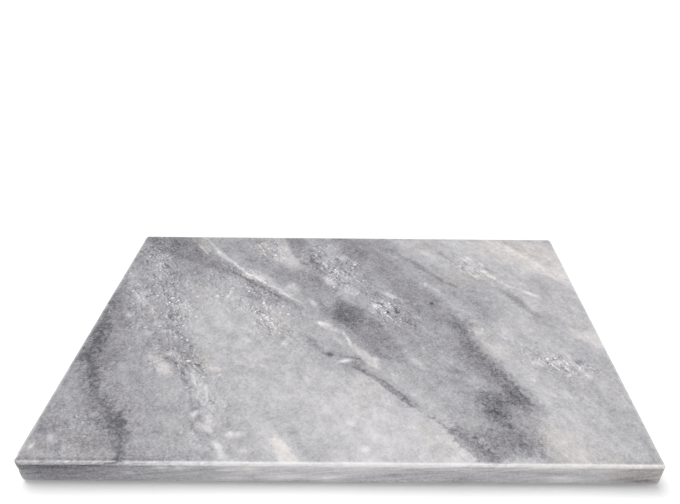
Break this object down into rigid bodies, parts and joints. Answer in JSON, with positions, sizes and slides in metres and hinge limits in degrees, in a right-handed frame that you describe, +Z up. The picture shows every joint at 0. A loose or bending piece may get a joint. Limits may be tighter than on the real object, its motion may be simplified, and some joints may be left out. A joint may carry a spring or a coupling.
{
  "type": "marble chopping board",
  "caption": "Rectangular honed slab of grey veined marble with eased edges, standing on stick-on rubber feet, for cutting and serving food on.",
  "frame": {"origin": "on the surface the feet stand on, under the middle of the board", "axes": "+X along the board's length to the right, +Y across its width to the back, +Z up through its thickness"},
  "size_m": [0.457, 0.305, 0.0229],
  "materials": {
    "honed_marble": "honed, grey and white veined",
    "foot_rubber": "matt translucent silicone rubber",
    "adhesive": "clear acrylic adhesive film"
  },
  "bodies": {
    "root": {"marble_slab": "honed_marble", "foot_front_left": "foot_rubber", "foot_front_right": "foot_rubber", "foot_back_left": "foot_rubber", "foot_back_right": "foot_rubber", "adhesive_disc_front_left": "adhesive", "adhesive_disc_front_right": "adhesive", "adhesive_disc_back_left": "adhesive", "adhesive_disc_back_right": "adhesive"}
  },
  "joints": []
}
